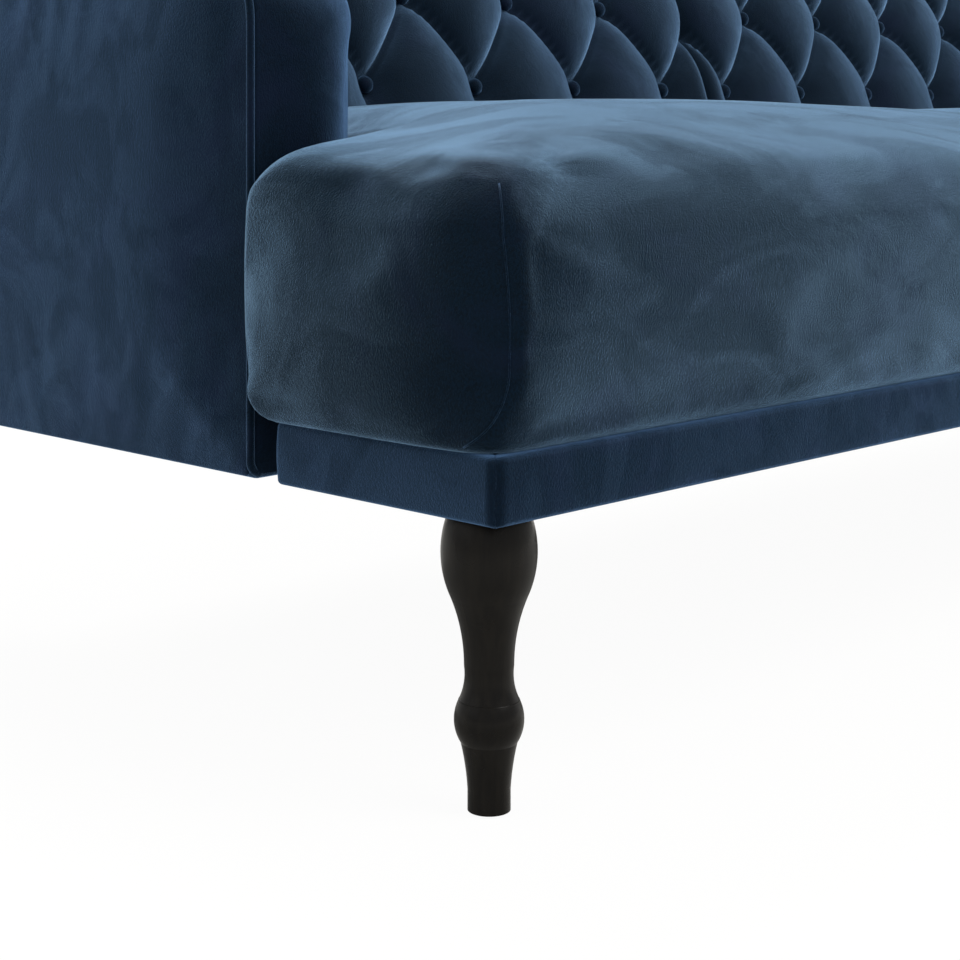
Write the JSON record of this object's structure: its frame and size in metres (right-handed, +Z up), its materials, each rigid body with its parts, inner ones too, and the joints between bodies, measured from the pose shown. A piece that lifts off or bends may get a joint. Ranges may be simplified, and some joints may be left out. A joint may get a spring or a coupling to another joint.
{
  "type": "sofa bed",
  "caption": "Sofa bed with a T-shaped seat, panel arms, turned legs and a split button-tufted back that reclines flat into a bed.",
  "frame": {"origin": "middle of the sofa's box at floor level", "axes": "+X along the sofa, to the right when seen from the front, +Y from the seat's front to the back, +Z up"},
  "size_m": [1.872, 0.8002, 0.8254],
  "materials": {
    "velvet": "short-pile blue velvet with brushed nap",
    "velvet_welt": "blue velvet wrapped round a cord",
    "black_wood": "turned hardwood, satin black stain",
    "frame_wood": "planed softwood",
    "plywood": "thin plywood",
    "webbing": "woven elastic strap",
    "base_cloth": "black non-woven cloth",
    "black_steel": "black powder-coated steel",
    "zinc_steel": "zinc-plated steel",
    "nylon": "moulded nylon glide"
  },
  "bodies": {
    "seat_base": {"arm_bolts": "zinc_steel", "arm_frame_left": "frame_wood", "arm_frame_right": "frame_wood", "arm_pad_left": "velvet", "arm_pad_right": "velvet", "arm_panel_left": "velvet", "arm_panel_right": "velvet", "arm_welt_left": "velvet_welt", "arm_welt_right": "velvet_welt", "border_front": "velvet", "border_left": "velvet", "border_rear": "velvet", "border_right": "velvet", "centre_rail": "frame_wood", "corner_blocks": "frame_wood", "detent_springs_left": "zinc_steel", "detent_springs_right": "zinc_steel", "dust_cover": "base_cloth", "end_rail_left": "frame_wood", "end_rail_right": "frame_wood", "front_rail": "frame_wood", "hinge_bolts": "zinc_steel", "hinge_bracket_inner_left": "black_steel", "hinge_bracket_inner_right": "black_steel", "hinge_bracket_outer_left": "black_steel", "hinge_bracket_outer_right": "black_steel", "leg_bolts": "zinc_steel", "leg_front_left": "black_wood", "leg_front_right": "black_wood", "leg_glides": "nylon", "leg_plates": "zinc_steel", "leg_rear_left": "black_wood", "leg_rear_right": "black_wood", "rear_rail": "frame_wood", "seat_cushion": "velvet", "seat_deck": "base_cloth", "seat_webbing_cross": "webbing", "seat_webbing_long": "webbing", "wing_rails": "frame_wood"},
    "back_left": {"back_board_left": "plywood", "back_bolts_left": "zinc_steel", "back_buttons_left": "velvet", "back_cover_left": "velvet", "back_pad_left": "velvet", "back_rails_left": "frame_wood", "back_stiles_left": "frame_wood", "hinge_arms_left": "black_steel", "hinge_pins_left": "zinc_steel", "ratchet_wheels_left": "black_steel"},
    "back_right": {"back_board_right": "plywood", "back_bolts_right": "zinc_steel", "back_buttons_right": "velvet", "back_cover_right": "velvet", "back_pad_right": "velvet", "back_rails_right": "frame_wood", "back_stiles_right": "frame_wood", "hinge_arms_right": "black_steel", "hinge_pins_right": "zinc_steel", "ratchet_wheels_right": "black_steel"}
  },
  "joints": [
    {"name": "back_left_recline", "type": "hinge", "parent": "seat_base", "child": "back_left", "pos_m": [0, 0.2415, 0.315], "axis": [-1, 0, 0], "range_deg": [0, 72], "deforming": ["detent_springs_left"]},
    {"name": "back_right_recline", "type": "hinge", "parent": "seat_base", "child": "back_right", "pos_m": [0, 0.2415, 0.315], "axis": [-1, 0, 0], "range_deg": [0, 72], "deforming": ["detent_springs_right"]}
  ]
}
